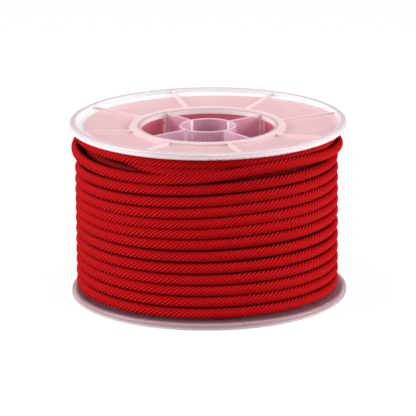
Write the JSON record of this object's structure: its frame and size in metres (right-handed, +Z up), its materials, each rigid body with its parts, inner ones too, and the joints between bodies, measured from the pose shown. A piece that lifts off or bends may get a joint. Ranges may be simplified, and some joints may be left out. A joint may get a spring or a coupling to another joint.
{
  "type": "spool of cord",
  "caption": "Clear plastic spool with ribbed flanges and a webbed hub, wound full of thin twisted red cord.",
  "frame": {"origin": "centre of the base, on the spool's axis, at the lower flange's rim", "axes": "+Z up along the spool's axis"},
  "size_m": [0.1, 0.1, 0.0645],
  "materials": {
    "clear_plastic": "translucent moulded polypropylene, smooth and slightly milky",
    "red_cord": "twisted filament yarn with a soft satin sheen"
  },
  "bodies": {
    "root": {"upper_flange": "clear_plastic", "lower_flange": "clear_plastic", "core": "clear_plastic", "cord_winding": "red_cord"}
  },
  "joints": []
}
